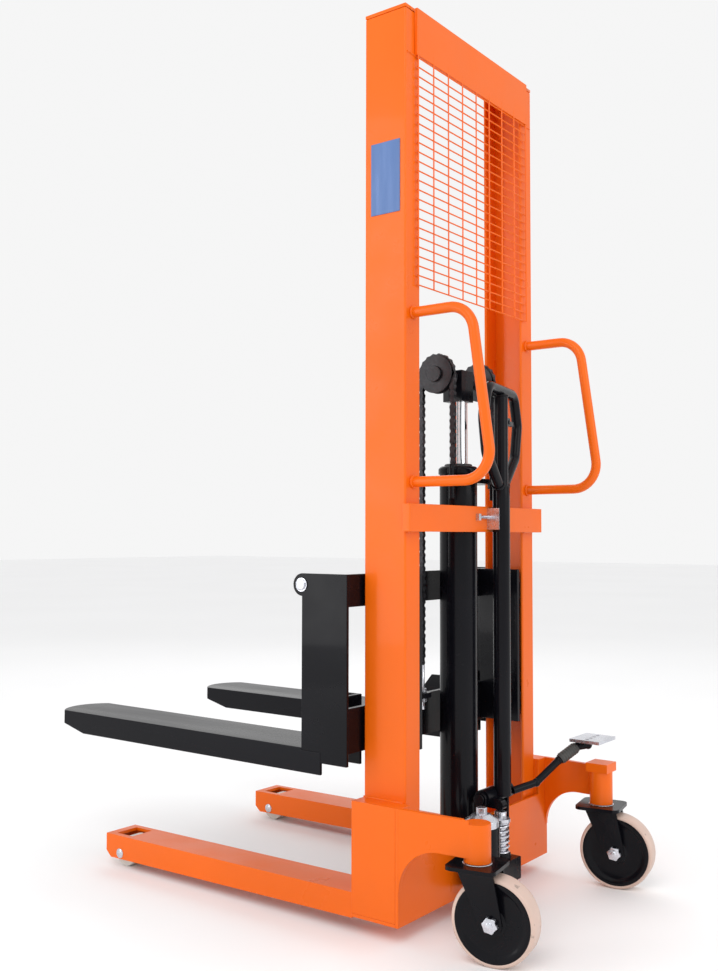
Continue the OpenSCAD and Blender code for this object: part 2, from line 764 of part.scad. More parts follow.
module release_lever() {
    color(grey) on_loop() difference() {
        union() {
            translate([lever_x, ear_gap - 2, lever_z]) rotate([90, 0, 0]) cylinder(h = 2 * ear_gap - 4, r = 9);
            translate([lever_x, 2 - ear_gap, lever_z - 6]) cube([56, 2 * ear_gap - 4, 12]);
        }
        translate([lever_x, 20, lever_z]) rotate([90, 0, 0]) cylinder(h = 40, r = lever_pin_r + run_gap);
    }
}

pedal_x = ear_right + ear_t + 3;
pedal_path = [[pedal_x + 8, pivot_y - hub_r, pivot_z], [160, rear_face - 65, 264],
    [225, rear_face - 95, 312], [268, rear_face - 123, 342], [292, rear_face - 143, pad_z - 10.8]];
pedal_rod_r = 9;
pedal_knuckle_r = 10.5;
module foot_pedal() {
    color(black) in_frame() {
        difference() {
            rod_x(pedal_x, pedal_x + 16, pivot_y, pivot_z, hub_r);
            rod_x(pedal_x - 1, pedal_x + 17, pivot_y, pivot_z, pivot_r + run_gap);
        }
        for (i = [0 : len(pedal_path) - 2]) bar(pedal_path[i], pedal_path[i+1], pedal_rod_r);
        for (i = [1 : len(pedal_path) - 1]) translate(pedal_path[i]) sphere(r = pedal_knuckle_r);
    }
}
module pedal_pad() {
    color(zinc) in_frame() difference() {
        block(250, 350, rear_face - 192, rear_face - 112, pad_z, pad_z + 8);
        for (i = [0 : 3]) rod_z(268 + i * 21, rear_face - 152, pad_z - 1, pad_z + 9, 5);
    }
}

mast_post_left();
mast_post_right();
mast_top_beam();
guard_mesh();
grab_handle_left();
grab_handle_right();
tie_plate();
cylinder_saddle();
tiller_clip();
blank_plate();
base_side_left();
base_side_right();
base_floor();
base_rear_panel();
leg_left();
leg_right();
load_roller_axles();
wing_left();
wing_right();
stem_housings();
lift_cylinder();
cylinder_head();
rear_chain_anchors();
rear_chain_falls();
pump_body();
release_valve();
pump_spring();
pivot_bracket();
piston_rod();
crosshead();
pulley_shaft();
chain_wraps();
pulley_left();
pulley_right();
roller_plate_left();
roller_plate_right();
carriage_side_left();
carriage_side_right();
carriage_top_plate();
carriage_beam();
fork_left();
fork_right();
front_chain_anchors();
front_chain_falls();
guide_roller_upper_left();
guide_roller_upper_right();
guide_roller_lower_left();
guide_roller_lower_right();
load_roller_left();
load_roller_right();
caster_fork_left();
caster_fork_right();
caster_wheel_left();
caster_wheel_right();
tiller_shaft();
tiller_loop();
release_lever();
pump_piston();
foot_pedal();
pedal_pad();
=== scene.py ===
"""Looks of a hand-pumped walkie stacker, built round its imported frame."""

import json
import math
import random

import bmesh
import bpy
from mathutils import Matrix, Vector


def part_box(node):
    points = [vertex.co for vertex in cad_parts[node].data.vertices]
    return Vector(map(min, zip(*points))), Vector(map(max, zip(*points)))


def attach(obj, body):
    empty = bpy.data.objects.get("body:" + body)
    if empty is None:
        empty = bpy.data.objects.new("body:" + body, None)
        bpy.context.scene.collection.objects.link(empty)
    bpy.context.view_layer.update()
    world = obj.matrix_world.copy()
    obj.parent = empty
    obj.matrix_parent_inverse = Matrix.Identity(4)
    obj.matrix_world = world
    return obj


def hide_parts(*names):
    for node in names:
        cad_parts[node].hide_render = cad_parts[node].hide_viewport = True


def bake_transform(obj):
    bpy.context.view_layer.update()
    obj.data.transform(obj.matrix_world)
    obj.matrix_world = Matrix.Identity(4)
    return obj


bl_info = {
    "name": "Walkie stacker",
    "version": (1, 0, 0),
    "blender": (4, 5, 0),
    "location": "3D View > Sidebar > Stacker",
    "description": "Builds the finished pieces and finishes of a hand-pumped walkie stacker",
    "category": "Object",
}

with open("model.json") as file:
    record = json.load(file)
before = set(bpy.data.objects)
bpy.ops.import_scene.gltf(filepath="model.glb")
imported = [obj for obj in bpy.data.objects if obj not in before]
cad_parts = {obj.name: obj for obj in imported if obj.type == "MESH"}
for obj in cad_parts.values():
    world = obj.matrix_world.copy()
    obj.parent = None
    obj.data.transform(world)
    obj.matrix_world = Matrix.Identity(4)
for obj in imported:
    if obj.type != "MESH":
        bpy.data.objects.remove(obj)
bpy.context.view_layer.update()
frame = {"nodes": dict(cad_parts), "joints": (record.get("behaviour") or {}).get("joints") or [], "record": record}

SIDES = (("left", -1), ("right", 1))
X_AXIS = Vector((1, 0, 0))
Y_AXIS = Vector((0, 1, 0))
Z_AXIS = Vector((0, 0, 1))


# Sizes and colours that a user would change

class StackerColours(bpy.types.PropertyGroup):
    """Colours of the paint and the bare materials"""
    orange: bpy.props.FloatVectorProperty(
        name="Frame paint", description="Colour of the mast, the legs and the base",
        default=(0.80, 0.128, 0.002), subtype="COLOR", min=0, max=1)
    black: bpy.props.FloatVectorProperty(
        name="Black paint", description="Colour of the forks, the carriage and the tiller",
        default=(0.004, 0.004, 0.006), subtype="COLOR", min=0, max=1)
    zinc: bpy.props.FloatVectorProperty(
        name="Zinc", description="Colour of the plated bolts, springs and pedal",
        default=(0.62, 0.63, 0.68), subtype="COLOR", min=0, max=1)
    tread: bpy.props.FloatVectorProperty(
        name="Tread", description="Colour of the cast tread on the caster wheels",
        default=(0.60, 0.44, 0.37), subtype="COLOR", min=0, max=1)
    plate: bpy.props.FloatVectorProperty(
        name="Blank plate", description="Colour of the blank plate on the mast",
        default=(0.085, 0.16, 0.36), subtype="COLOR", min=0, max=1)
    floor: bpy.props.FloatVectorProperty(
        name="Floor", description="Colour of the studio floor",
        default=(0.93, 0.93, 0.935), subtype="COLOR", min=0, max=1)


class StackerSizes(bpy.types.PropertyGroup):
    """Sizes of the details that the frame doesn't hold"""
    edge: bpy.props.FloatProperty(
        name="Edge", description="Radius of a cut plate's softened edge",
        default=0.0012, min=0.0004, max=0.002, unit="LENGTH")
    channel_edge: bpy.props.FloatProperty(
        name="Channel edge", description="Radius of the rolled corners of a mast post",
        default=0.005, min=0.002, max=0.007, unit="LENGTH")
    wire: bpy.props.FloatProperty(
        name="Guard wire", description="Radius of the wire guard's wires",
        default=0.0017, min=0.001, max=0.002, unit="LENGTH")
    link_pitch: bpy.props.FloatProperty(
        name="Link pitch", description="Distance between two pins of the lifting chain",
        default=0.0159, min=0.0127, max=0.0254, unit="LENGTH")
    spring_wire: bpy.props.FloatProperty(
        name="Spring wire", description="Radius of the pump spring's wire",
        default=0.0026, min=0.002, max=0.003, unit="LENGTH")
    spring_turns: bpy.props.IntProperty(
        name="Spring turns", description="Turns of the pump spring", default=7, min=5, max=9)
    weld: bpy.props.FloatProperty(
        name="Weld", description="Radius of a weld bead",
        default=0.0032, min=0.002, max=0.004, unit="LENGTH")


class StackerStudio(bpy.types.PropertyGroup):
    """Camera and lights"""
    camera: bpy.props.FloatVectorProperty(
        name="Camera", description="Place of the camera",
        default=(-2.2389, -1.7459, 0.8755), subtype="TRANSLATION", unit="LENGTH")
    heading: bpy.props.FloatProperty(
        name="Heading", description="Direction of view, turned from +X towards +Y",
        default=math.radians(36.98), subtype="ANGLE")
    rise: bpy.props.FloatProperty(
        name="Rise", description="Direction of view above the horizon",
        default=math.radians(2.68), subtype="ANGLE")
    roll: bpy.props.FloatProperty(
        name="Roll", description="Turn of the camera about its own line of sight",
        default=math.radians(-0.12), subtype="ANGLE")
    lens: bpy.props.FloatProperty(
        name="Lens", description="Focal length on a sensor 36 mm high", default=39.46, min=20, max=90)
    key: bpy.props.FloatProperty(
        name="Key light", description="Power of the large soft light", default=65, min=10, max=900)
    fill: bpy.props.FloatProperty(
        name="Fill light", description="Power of the light on the other side", default=40, min=0, max=900)
    sky: bpy.props.FloatProperty(
        name="Surroundings", description="Strength of the even light from all round",
        default=0.92, min=0, max=3)


# Finishes

COAT_ROUGHNESS = 0.05


def wire_up(tree, source, target):
    tree.links.new(source, target)


def noise_from(tree, coordinates, scale, detail=4.0, stretch=(1, 1, 1)):
    """A noise pattern in the piece's own coordinates, stretched along its axes."""
    place = tree.nodes.new("ShaderNodeMapping")
    place.inputs["Scale"].default_value = stretch
    noise = tree.nodes.new("ShaderNodeTexNoise")
    noise.inputs["Scale"].default_value = scale
    noise.inputs["Detail"].default_value = detail
    wire_up(tree, coordinates, place.inputs["Vector"])
    wire_up(tree, place.outputs["Vector"], noise.inputs["Vector"])
    return noise.outputs["Fac"]


def spread(tree, value, low, high, start=0.3, end=0.7):
    """The pattern's values from start to end, spread over low to high."""
    node = tree.nodes.new("ShaderNodeMapRange")
    node.inputs["From Min"].default_value = start
    node.inputs["From Max"].default_value = end
    node.inputs["To Min"].default_value = low
    node.inputs["To Max"].default_value = high
    wire_up(tree, value, node.inputs["Value"])
    return node.outputs["Result"]


def between(tree, amount, first, second):
    """A colour between first and second. Each is a colour or another node's output."""
    node = tree.nodes.new("ShaderNodeMix")
    node.data_type = "RGBA"
    wire_up(tree, amount, node.inputs["Factor"])
    for socket, colour in ((node.inputs[6], first), (node.inputs[7], second)):
        if isinstance(colour, bpy.types.NodeSocket):
            wire_up(tree, colour, socket)
        else:
            socket.default_value = (*colour, 1)
    return node.outputs[2]


def shade(colour, factor):
    return tuple(min(1, part * factor) for part in colour)


def finish(name, colour, rough, metal=0.0, coat=0.0, cloud=(3.0, 0.12), grain=(900.0, 0.05, 0.0003),
           stretch=(1, 1, 1), wear=None, specular=0.5):
    """A finish with a cloudy colour, uneven gloss, a fine grain and, where asked, worn marks.

    cloud is (scale, depth), grain is (scale, strength, distance), wear is (scale, colour, share)."""
    material = bpy.data.materials.new(name)
    material.use_nodes = True
    tree = material.node_tree
    shader = tree.nodes["Principled BSDF"]
    shader.inputs["Metallic"].default_value = metal
    shader.inputs["Specular IOR Level"].default_value = specular
    shader.inputs["Coat Weight"].default_value = coat
    shader.inputs["Coat Roughness"].default_value = COAT_ROUGHNESS
    where = tree.nodes.new("ShaderNodeTexCoord").outputs["Object"]
    scale, depth = cloud
    clouds = spread(tree, noise_from(tree, where, scale, 5, stretch), 0, 1)
    tone = between(tree, clouds, shade(colour, 1 - depth), shade(colour, 1 + depth))
    gloss = spread(tree, noise_from(tree, where, scale * 4, 6, stretch), rough * 0.75, rough * 1.3)
    if wear:
        wear_scale, worn, share = wear
        spots = noise_from(tree, where, wear_scale, 9, stretch)
        marks = spread(tree, spots, 0, 1, 1 - share, 1.02 - share)
        tone = between(tree, marks, tone, worn)
    wire_up(tree, tone, shader.inputs["Base Color"])
    wire_up(tree, gloss, shader.inputs["Roughness"])
    bump = tree.nodes.new("ShaderNodeBump")
    grain_scale, strength, distance = grain
    bump.inputs["Strength"].default_value = strength
    bump.inputs["Distance"].default_value = distance
    wire_up(tree, noise_from(tree, where, grain_scale, 2, stretch), bump.inputs["Height"])
    wire_up(tree, bump.outputs["Normal"], shader.inputs["Normal"])
    return material


def make_finishes(colours):
    """Every finish on the machine, by its plain name."""
    black, zinc, orange = tuple(colours.black), tuple(colours.zinc), tuple(colours.orange)
    steel = (0.30, 0.30, 0.31)
    return {
        "orange_paint": finish("orange_paint", orange, 0.34, coat=0.10, specular=0.22, cloud=(2.2, 0.07),
                               grain=(420, 0.10, 0.0004)),
        "black_paint": finish("black_paint", black, 0.24, coat=0.10, specular=0.10, cloud=(3, 0.3),
                              grain=(380, 0.10, 0.0004)),
        "fork_paint": finish("fork_paint", black, 0.26, coat=0.10, specular=0.10, cloud=(3, 0.3),
                             grain=(380, 0.10, 0.0004), stretch=(1, 0.12, 1),
                             wear=(22, shade(steel, 0.55), 0.29)),
        "zinc_plate": finish("zinc_plate", zinc, 0.26, metal=0.9, cloud=(30, 0.14),
                             grain=(700, 0.15, 0.0002)),
        "bright_rod": finish("bright_rod", (0.72, 0.73, 0.75), 0.10, metal=1.0, cloud=(12, 0.06),
                             grain=(300, 0.05, 0.0001), stretch=(1, 1, 0.05)),
        "chain_steel": finish("chain_steel", (0.035, 0.035, 0.04), 0.34, metal=0.6, cloud=(60, 0.4),
                              grain=(600, 0.2, 0.0002)),
        "sheave_iron": finish("sheave_iron", (0.02, 0.02, 0.024), 0.36, metal=0.3, cloud=(40, 0.3),
                              grain=(500, 0.25, 0.0003)),
        "roller_steel": finish("roller_steel", (0.22, 0.22, 0.23), 0.32, metal=0.9, cloud=(25, 0.2),
                               grain=(500, 0.15, 0.0002)),
        "tread": finish("tread", tuple(colours.tread), 0.42, cloud=(14, 0.09), grain=(260, 0.25, 0.0005),
                        wear=(34, shade(colours.tread, 0.62), 0.33)),
        "nylon": finish("nylon", (0.62, 0.60, 0.55), 0.38, cloud=(20, 0.08), grain=(300, 0.15, 0.0003)),
        "blue_plate": finish("blue_plate", tuple(colours.plate), 0.35, metal=0.2, cloud=(16, 0.10),
                             grain=(800, 0.08, 0.0001), stretch=(1, 1, 0.1)),
        "sleeve_rubber": finish("sleeve_rubber", (0.055, 0.055, 0.052), 0.55, cloud=(22, 0.2),
                                grain=(500, 0.4, 0.0006)),
        "grip_plastic": finish("grip_plastic", (0.02, 0.02, 0.022), 0.45, cloud=(30, 0.2),
                               grain=(700, 0.4, 0.0004)),
    }


finishes = {}   # filled by the operator that makes the finishes

# The finish of each node that isn't painted orange
LOOK_OF = {
    node: look for look, nodes in {
        "black_paint": """lift_cylinder cylinder_head rear_chain_anchors pump_body pivot_bracket crosshead
            roller_plate_left roller_plate_right carriage_side_left carriage_side_right carriage_top_plate
            carriage_beam caster_fork_left caster_fork_right tiller_shaft tiller_loop foot_pedal""",
        "fork_paint": "fork_left fork_right",
        "zinc_plate": """load_roller_axles release_valve pump_spring pump_piston front_chain_anchors
            pedal_pad tiller_clip""",
        "sheave_iron": "pulley_left pulley_right pulley_shaft",
        "bright_rod": "piston_rod",
        "chain_steel": "rear_chain_falls chain_wraps front_chain_falls",
        "roller_steel": """guide_roller_upper_left guide_roller_upper_right guide_roller_lower_left
            guide_roller_lower_right""",
        "nylon": "load_roller_left load_roller_right",
        "tread": "caster_wheel_left caster_wheel_right",
        "grip_plastic": "release_lever",
        "blue_plate": "blank_plate",
    }.items() for node in nodes.split()
}
MAST_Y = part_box("mast_post_left")[0].y

# Sizes of the frame that its boxes don't give: metres, but millimetres where a name ends in MM
POST_WIDTH = 0.058                                # a mast post across the machine
CARRIAGE_HALF = 0.347                             # from the middle to the carriage sides' inner faces
CARRIAGE_WELDS = ((0.719, 0.784), (0.404, 0.486))  # heights between which the sides are welded
LEG_WELD = (0.042, 0.086)                         # heights between which a leg is welded to the base
FORK_TOP = 0.391                                  # height of the forks' top faces
CHAIN_MM = 95                                     # from the middle to each chain
CHAIN_REACH = 0.044                               # radius of the chains' middle line on the pulleys
REAR_ANCHOR_MM = (3, 1049)                        # forward and up to a chain's fixed end
FRONT_ANCHOR_MM = (91, 571)                       # forward and up to a chain's end on the carriage
HANDLE_MM = ((0, 1377), (-150, 1377), (-205, 995), (0, 995))
HANDLE_BEND = 0.062
LOOP_FOOT_MM = (50, -45, 978)                     # where the tiller's shaft begins
LOOP_TURN = 12                                    # degrees that the tiller's loop is turned
LOOP_MM = ((16, 16), (114, 92), (137, 178), (106, 254),
           (-106, 254), (-137, 178), (-114, 92), (-16, 16))
LOOP_BEND = 0.040
LOOP_TUBE = 0.0129                                # radius of the loop's tube
STEM_SEAT = 0.1996                                # height of the seat under a caster's stem housing
SLEEVE_MM = ((228, -110, 314), (267, -135.4, 341.3))  # the two ends of the pedal's sleeve
LUG_MM = (356, 250, 762)                          # the bolt on each side of the carriage
CYLINDER_MM = (0, 47)                             # the lift cylinder's middle line

FRAME_SMOOTH = 32                                 # degrees between faces that are still shaded as one


def at(x, y, z):
    """A point from millimetres: from the middle, forward of the mast's rear face, above the ground."""
    return Vector((x / 1000, MAST_Y + y / 1000, z / 1000))


def joint(name):
    """Where a joint is and the way that its axis points."""
    found = next(item for item in frame["joints"] if item["name"] == name)
    return Vector(found["pos_m"]), Vector(found["axis"]).normalized()


# Shaping helpers. All sizes are in metres, in the frame's own axes.

def bent(points, bend, steps=8):
    """A path through points, with its inner corners rounded to the bend radius."""
    path = [Vector(points[0])]
    for before, corner, after in zip(points, points[1:], points[2:]):
        corner = Vector(corner)
        a = (Vector(before) - corner).normalized()
        b = (Vector(after) - corner).normalized()
        half = a.angle(b) / 2
        cut = bend / math.tan(half)
        middle = corner + (a + b).normalized() * (bend / math.sin(half))
        start, end = corner + a * cut - middle, corner + b * cut - middle
        axis = start.cross(end).normalized()
        turn = start.angle(end)
        for step in range(steps + 1):
            path.append(middle + Matrix.Rotation(turn * step / steps, 3, axis) @ start)
    path.append(Vector(points[-1]))
    return path


def swept(points, radius, closed=False, sides=20):
    """A round tube along points, as a bmesh."""
    curve = bpy.data.curves.new("sweep", "CURVE")
    curve.dimensions = "3D"
    curve.bevel_depth = radius
    curve.bevel_resolution = max(0, sides // 4 - 1)
    curve.use_fill_caps = not closed
    line = curve.splines.new("POLY")
    line.points.add(len(points) - 1)
    for place, point in zip(line.points, points):
        place.co = (*point, 1)
    line.use_cyclic_u = closed
    holder = bpy.data.objects.new("sweep", curve)
    mesh = holder.to_mesh()
    bm = bmesh.new()
    bm.from_mesh(mesh)
    holder.to_mesh_clear()
    bpy.data.objects.remove(holder)
    bpy.data.curves.remove(curve)
    bmesh.ops.remove_doubles(bm, verts=bm.verts, dist=1e-6)
    return bm


def turned(profile, place, axis, steps=64, closed=False):
    """A turned part: profile is (radius, height) pairs along axis, from place. A closed one has a bore."""
    bm = bmesh.new()
    corners = [bm.verts.new((radius, 0, height)) for radius, height in profile]
    edges = [bm.edges.new(pair) for pair in zip(corners, corners[1:] + corners[:1] * closed)]
    bmesh.ops.spin(bm, geom=corners + edges, cent=(0, 0, 0), axis=(0, 0, 1), angle=2 * math.pi,
                   steps=steps, use_merge=True)
    bmesh.ops.remove_doubles(bm, verts=bm.verts, dist=1e-6)
    stand(bm, place, axis)
    return bm


def stand(bm, place, axis):
    """Turns a mesh made along Z so that it points along axis, and puts it in its place."""
    turn = Z_AXIS.rotation_difference(Vector(axis)).to_matrix().to_4x4()
    bmesh.ops.transform(bm, matrix=Matrix.Translation(place) @ turn, verts=bm.verts)


def hexagon(place, axis, across, height, bevel=0.0008):
    """A bolt head or nut that stands on place along axis, with a chamfered crown."""
    bm = bmesh.new()
    bmesh.ops.create_cone(bm, cap_ends=True, segments=6, radius1=across / math.sqrt(3),
                          radius2=across / math.sqrt(3), depth=height)
    bmesh.ops.translate(bm, vec=(0, 0, height / 2), verts=bm.verts)
    top = [edge for edge in bm.edges if min(vert.co.z for vert in edge.verts) > height * 0.9]
    bmesh.ops.bevel(bm, geom=top, offset=bevel * 2, segments=2, affect="EDGES", profile=0.4,
                    material=-1, clamp_overlap=True)
    stand(bm, place, axis)
    return bm


def ring(place, axis, radius, wire, steps=40, sides=12):
    """A round ring of round section about axis."""
    bm = bmesh.new()
    made = bmesh.ops.create_circle(bm, segments=sides, radius=wire)
    turn = Matrix.Translation((radius, 0, 0)) @ Matrix.Rotation(math.pi / 2, 4, "X")
    bmesh.ops.transform(bm, matrix=turn, verts=made["verts"])
    bmesh.ops.spin(bm, geom=list(bm.verts) + list(bm.edges), cent=(0, 0, 0), axis=(0, 0, 1),
                   angle=2 * math.pi, steps=steps, use_merge=True)
    bmesh.ops.remove_doubles(bm, verts=bm.verts, dist=1e-6)
    stand(bm, place, axis)
    return bm


def weld_line(start, end, radius, seed):
    """A straight weld bead with overlapping ripples."""
    start, end = Vector(start), Vector(end)
    count = max(3, int((end - start).length / (radius * 0.9)))
    points = [start + (end - start) * step / count for step in range(count + 1)]
    bm = swept(points, radius, sides=8)
    along = (end - start).normalized()
    for vert in bm.verts:
        far = (vert.co - start).dot(along)
        spine = start + along * far
        swell = 0.82 + 0.10 * (round(far / (radius * 0.9)) % 2) + seed.uniform(-0.05, 0.05)
        vert.co = spine + (vert.co - spine) * swell
    return bm


def joined(parts):
    """Several bmeshes as one."""
    whole = bmesh.new()
    for part in parts:
        mesh = bpy.data.meshes.new("part")
        part.to_mesh(mesh)
        part.free()
        whole.from_mesh(mesh)
        bpy.data.meshes.remove(mesh)
    return whole


def piece(name, bm, body, look, replaces=(), smooth=35, weighted=False):
    """Makes a finished piece that rides on a body and stands for the CAD nodes it replaces."""
    if isinstance(bm, list):
        bm = joined(bm)
    bmesh.ops.recalc_face_normals(bm, faces=bm.faces)
    mesh = bpy.data.meshes.new(name)
    bm.to_mesh(mesh)
    bm.free()
    thing = bpy.data.objects.new(name, mesh)
    bpy.context.scene.collection.objects.link(thing)
    mesh.materials.append(finishes[look])
    mesh.polygons.foreach_set("use_smooth", [True] * len(mesh.polygons))
    mesh.set_sharp_from_angle(angle=math.radians(smooth))
    if weighted:
        normals = thing.modifiers.new("Weighted normals", "WEIGHTED_NORMAL")
        normals.keep_sharp = True
    if body:
        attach(thing, body)
    if replaces:
        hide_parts(*replaces)
    return thing


body_of_node = {node: body for body, nodes in frame["record"]["behaviour"]["bodies"].items()
                for node in nodes}


def softened(node, edge, corners=25, segments=2):
    """A copy of a CAD node with its cut edges softened, which stands for the node."""
    bm = bmesh.new()
    bm.from_mesh(frame["nodes"][node].data)
    bmesh.ops.remove_doubles(bm, verts=bm.verts, dist=1e-6)
    bmesh.ops.dissolve_limit(bm, angle_limit=math.radians(0.5), verts=bm.verts, edges=bm.edges)
    hard = [item for item in bm.edges
            if len(item.link_faces) == 2 and item.is_convex
            and item.calc_face_angle(0) > math.radians(corners)]
    bmesh.ops.bevel(bm, geom=hard, offset=edge, segments=segments, affect="EDGES", profile=0.5,
                    material=-1, clamp_overlap=True)
    look = LOOK_OF.get(node, "orange_paint")
    return piece(node + "_finished", bm, body_of_node[node], look, replaces=[node], smooth=50,
                 weighted=True)


# Operators. Each one makes a group of pieces.

def settings(context):
    scene = context.scene
    return scene.stacker_colours, scene.stacker_sizes, scene.stacker_studio


class STACKER_OT_finishes(bpy.types.Operator):
    """Make every finish and put one on each node of the frame"""
    bl_idname = "stacker.finishes"
    bl_label = "Make the finishes"

    def execute(self, context):
        finishes.update(make_finishes(context.scene.stacker_colours))
        for name, node in frame["nodes"].items():
            look = LOOK_OF.get(name, "orange_paint")
            node.data.materials.clear()
            node.data.materials.append(finishes[look])
            node.data.polygons.foreach_set("use_smooth", [True] * len(node.data.polygons))
            node.data.set_sharp_from_angle(angle=math.radians(FRAME_SMOOTH))
        return {"FINISHED"}


class STACKER_OT_plates(bpy.types.Operator):
    """Soften the cut edges of the mast, base, legs, forks and carriage"""
    bl_idname = "stacker.plates"
    bl_label = "Soften the plates"

    def execute(self, context):
        sizes = context.scene.stacker_sizes
        for side in ("left", "right"):
            softened("mast_post_" + side, sizes.channel_edge, segments=4)
            softened("fork_" + side, 0.0018, segments=3)
        for edge, nodes in (
                (0.002, "pump_body cylinder_head pedal_pad load_roller_left load_roller_right"),
                (sizes.edge, """leg_left leg_right carriage_side_left carriage_side_right
                    roller_plate_left roller_plate_right base_side_left base_side_right wing_left
                    wing_right mast_top_beam base_rear_panel base_floor tie_plate carriage_top_plate
                    carriage_beam crosshead pivot_bracket stem_housings cylinder_saddle release_valve
                    guide_roller_upper_left guide_roller_upper_right guide_roller_lower_left
                    guide_roller_lower_right pulley_left pulley_right pulley_shaft"""),
                (0.0006, """tiller_clip rear_chain_anchors front_chain_anchors release_lever pump_piston
                    caster_fork_left caster_fork_right"""),
                (0.0004, "blank_plate")):
            for node in nodes.split():
                softened(node, edge)
        return {"FINISHED"}


class STACKER_OT_guard(bpy.types.Operator):
    """Weave the wire guard from round wires that are welded where they cross"""
    bl_idname = "stacker.guard"
    bl_label = "Make the wire guard"

    def execute(self, context):
        wire = context.scene.stacker_sizes.wire
        low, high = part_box("guard_mesh")
        y = (low.y + high.y) / 2
        across, up = 8, 25
        parts = []
        for step in range(across + 1):
            x = low.x + wire + (high.x - low.x - 2 * wire) * step / across
            parts.append(swept([(x, y - wire * 0.5, low.z), (x, y - wire * 0.5, high.z)], wire, sides=10))
        for step in range(up + 1):
            z = low.z + wire + (high.z - low.z - 2 * wire) * step / up
            parts.append(swept([(low.x, y + wire * 0.6, z), (high.x, y + wire * 0.6, z)], wire, sides=10))
        piece("wire_guard", parts, "frame", "orange_paint", replaces=["guard_mesh"])
        return {"FINISHED"}


class STACKER_OT_handles(bpy.types.Operator):
    """Bend the two grab handles and weld them to the mast"""
    bl_idname = "stacker.handles"
    bl_label = "Make the grab handles"

    def execute(self, context):
        weld = context.scene.stacker_sizes.weld
        for side, _ in SIDES:
            low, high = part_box("grab_handle_" + side)
            middle = (low.x + high.x) / 2
            radius = (high.x - low.x) / 2
            points = [at(middle * 1000, y, z) for y, z in HANDLE_MM]
            parts = [swept(bent(points, HANDLE_BEND, 12), radius - 0.0001, sides=32)]
            for end in (points[0], points[-1]):
                parts.append(ring(end - Vector((0, weld * 0.6, 0)), Y_AXIS, radius, weld))
            piece("bent_handle_" + side, parts, "frame", "orange_paint", replaces=["grab_handle_" + side])
        return {"FINISHED"}


class STACKER_OT_tiller(bpy.types.Operator):
    """Bend the tiller's loop and weld it to the shaft"""
    bl_idname = "stacker.tiller"
    bl_label = "Make the tiller's loop"

    def execute(self, context):
        weld = context.scene.stacker_sizes.weld
        turn = Matrix.Rotation(math.radians(LOOP_TURN), 3, "Z")
        foot = at(*LOOP_FOOT_MM)
        points = [foot + turn @ Vector((x / 1000, 0, z / 1000)) for x, z in LOOP_MM]
        parts = [swept(bent(points, LOOP_BEND, 10), LOOP_TUBE, sides=32)]
        parts.append(ring(foot + Vector((0, 0, 0.016)), Z_AXIS, 0.018, weld))
        parts.append(ring(foot + Vector((0, 0, 0.240)), Z_AXIS, 0.0165, weld))
        for sign in (-1, 1):
            near = foot + turn @ Vector((sign * 0.0215, 0, 0.020))
            parts.append(ring(near, turn @ Vector((sign * 0.79, 0, 0.61)), 0.0135, weld * 0.8))
        piece("bent_loop", parts, "tiller", "black_paint", replaces=["tiller_loop"])
        return {"FINISHED"}


def link_plate(first, second, across, half, thick=0.0022, tall=0.0064, waist=0.0046, sides=7):
    """One waisted plate of a leaf chain between two pins, at half from its middle line."""
    along = (second - first).normalized()
    up = across.cross(along)
    outline = []
    for centre, sign in ((first, -1), (second, 1)):
        for step in range(sides + 1):
            turn = math.pi * (step / sides - 0.5)
            outline.append(centre + along * sign * math.cos(turn) * tall
                           + up * sign * math.sin(turn) * tall)
        outline.append((first + second) / 2 + up * sign * waist)
    bm = bmesh.new()
    rows = [[bm.verts.new(point + across * (half + shift)) for point in outline]
            for shift in (-thick / 2, thick / 2)]
    bm.faces.new(rows[0][::-1])
    bm.faces.new(rows[1])
    count = len(outline)
    for step in range(count):
        after = (step + 1) % count
        bm.faces.new((rows[0][step], rows[0][after], rows[1][after], rows[1][step]))
    return bm


def leaf_chain(pins):
    """Plates laced over a row of pins, two on one link and three on the next, with the pins' ends."""
    pin_shape = ((0, -0.0068), (0.0022, -0.0068), (0.0026, -0.0063), (0.0026, 0.0063),
                 (0.0022, 0.0068), (0, 0.0068))
    parts = []
    for number, (first, second) in enumerate(zip(pins, pins[1:])):
        for half in ((-0.0050, 0, 0.0050) if number % 2 else (-0.0025, 0.0025)):
            parts.append(link_plate(first, second, X_AXIS, half))
    for pin in pins:
        parts.append(turned(pin_shape, pin, X_AXIS, steps=10))
    return parts


class STACKER_OT_chains(bpy.types.Operator):
    """Link the two lifting chains: the rear falls, the turns over the pulleys and the front falls"""
    bl_idname = "stacker.chains"
    bl_label = "Make the lifting chains"

    def execute(self, context):
        pitch = context.scene.stacker_sizes.link_pitch
        rear, wrap, front = [], [], []
        for side, sign in SIDES:
            middle = joint("pulley_spin_" + side)[0]
            back, ahead = middle - Y_AXIS * CHAIN_REACH, middle + Y_AXIS * CHAIN_REACH
            for links, anchor, end in ((rear, REAR_ANCHOR_MM, back), (front, FRONT_ANCHOR_MM, ahead)):
                start = at(sign * CHAIN_MM, *anchor)
                count = max(4, round((end.z - start.z) / pitch))
                links.extend(leaf_chain([start + (end - start) * step / count
                                         for step in range(count + 1)]))
            count = round(math.pi * CHAIN_REACH / pitch)
            wrap.extend(leaf_chain([
                middle + Matrix.Rotation(-math.pi * step / count, 3, "X") @ Vector((0, -CHAIN_REACH, 0))
                for step in range(count + 1)]))
        falls = piece("rear_chains", rear, None, "chain_steel", replaces=["rear_chain_falls"])
        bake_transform(falls)
        piece("wrapped_chains", wrap, "rod", "chain_steel", replaces=["chain_wraps"])
        falls = piece("front_chains", front, None, "chain_steel", replaces=["front_chain_falls"])
        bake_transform(falls)
        return {"FINISHED"}


